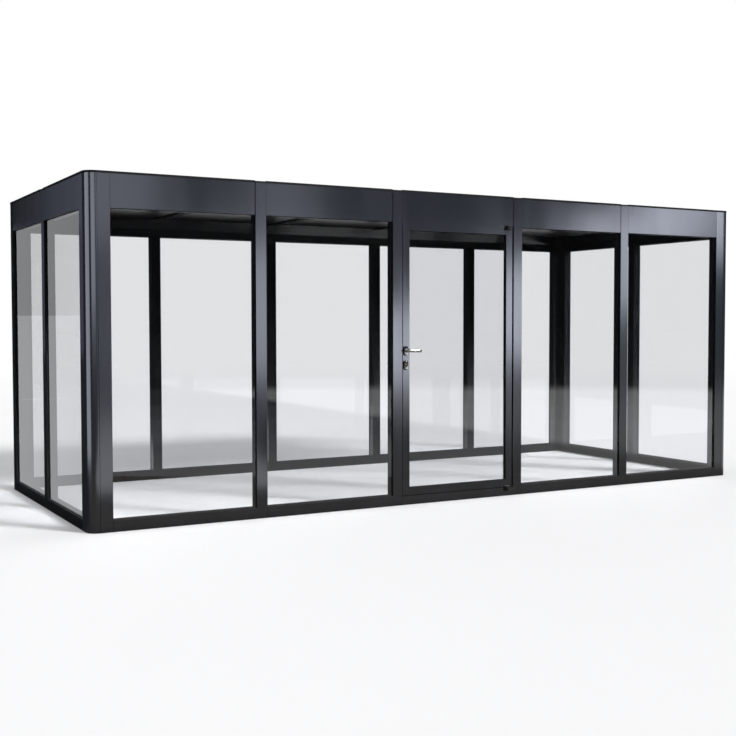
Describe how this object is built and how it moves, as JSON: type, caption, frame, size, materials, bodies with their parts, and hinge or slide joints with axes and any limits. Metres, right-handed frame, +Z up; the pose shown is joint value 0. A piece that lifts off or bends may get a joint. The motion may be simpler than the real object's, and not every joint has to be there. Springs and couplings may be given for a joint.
{
  "type": "greenhouse",
  "caption": "Flat-roofed rectangular greenhouse with slim dark metal framing, glass walls all round, rounded corner posts and an outward-opening glass door with a lever lock.",
  "frame": {"origin": "on the ground, at the middle of the bounding box seen from above", "axes": "+X along the door side from the left corner to the right one as seen from outside, +Y from the door side to the rear, +Z up"},
  "size_m": [5.504, 2.311, 2.25],
  "materials": {
    "powder_coat": "satin anthracite powder coat on extruded aluminium",
    "roof_coat": "matt dark coated sheet",
    "glass": "clear float glass with polished edges",
    "satin_chrome": "satin chrome",
    "steel": "brushed stainless steel",
    "black_pivot": "matt black",
    "brass": "bright turned brass"
  },
  "bodies": {
    "greenhouse": {"front_sill": "powder_coat", "front_header": "powder_coat", "front_mullion_1": "powder_coat", "front_mullion_2": "powder_coat", "front_mullion_3": "powder_coat", "front_mullion_4": "powder_coat", "rear_sill": "powder_coat", "rear_header": "powder_coat", "rear_mullion_1": "powder_coat", "rear_mullion_2": "powder_coat", "rear_mullion_3": "powder_coat", "rear_mullion_4": "powder_coat", "left_sill": "powder_coat", "left_header": "powder_coat", "left_mullion_1": "powder_coat", "right_sill": "powder_coat", "right_header": "powder_coat", "right_mullion_1": "powder_coat", "corner_post_front_left": "powder_coat", "corner_post_front_right": "powder_coat", "corner_post_rear_left": "powder_coat", "corner_post_rear_right": "powder_coat", "rafter_1": "powder_coat", "rafter_2": "powder_coat", "rafter_3": "powder_coat", "rafter_4": "powder_coat", "roof_deck": "roof_coat", "front_pane_1": "glass", "front_pane_2": "glass", "front_pane_3": "glass", "front_pane_4": "glass", "rear_pane_1": "glass", "rear_pane_2": "glass", "rear_pane_3": "glass", "rear_pane_4": "glass", "rear_pane_5": "glass", "left_pane_1": "glass", "left_pane_2": "glass", "right_pane_1": "glass", "right_pane_2": "glass", "strike_plate": "steel", "top_pivot_fixed": "black_pivot", "foot_pivot_fixed": "black_pivot"},
    "door_leaf": {"door_lock_stile": "powder_coat", "door_hinge_stile": "powder_coat", "door_top_rail": "powder_coat", "door_bottom_rail": "powder_coat", "door_glass": "glass", "top_pivot_leaf": "black_pivot", "foot_pivot_leaf": "black_pivot", "outside_rose": "satin_chrome", "outside_escutcheon": "satin_chrome", "inside_backplate": "satin_chrome", "cylinder_body": "satin_chrome", "lock_case": "steel"},
    "lever_set": {"outside_lever": "satin_chrome", "inside_lever": "satin_chrome"},
    "latch": {"latch_bolt": "steel"},
    "key_plug": {"cylinder_plug": "brass"},
    "lock_bolt": {"deadbolt": "steel"}
  },
  "joints": [
    {"name": "door_swing", "type": "hinge", "parent": "greenhouse", "child": "door_leaf", "pos_m": [0.428, -1.1025, 0], "axis": [0, 0, 1], "range_deg": [0, 100]},
    {"name": "lever_turn", "type": "hinge", "parent": "door_leaf", "child": "lever_set", "pos_m": [-0.463, -1.0775, 1.1075], "axis": [0, 1, 0], "range_deg": [0, 40], "stiffness_Nm_per_rad": 2},
    {"name": "latch_draw", "type": "slide", "parent": "door_leaf", "child": "latch", "axis": [1, 0, 0], "range_m": [0, 0.009]},
    {"name": "bolt_throw", "type": "slide", "parent": "door_leaf", "child": "lock_bolt", "axis": [-1, 0, 0], "range_m": [0, 0.014]},
    {"name": "key_turn", "type": "hinge", "parent": "door_leaf", "child": "key_plug", "pos_m": [-0.463, -1.0775, 1.0155], "axis": [0, -1, 0], "range_deg": [0, 360]}
  ],
  "couplings": [
    {"joint": "latch_draw", "follows": "lever_turn", "m_per_rad": 0.012892},
    {"joint": "key_turn", "follows": "bolt_throw", "rad_per_m": 448.8}
  ]
}
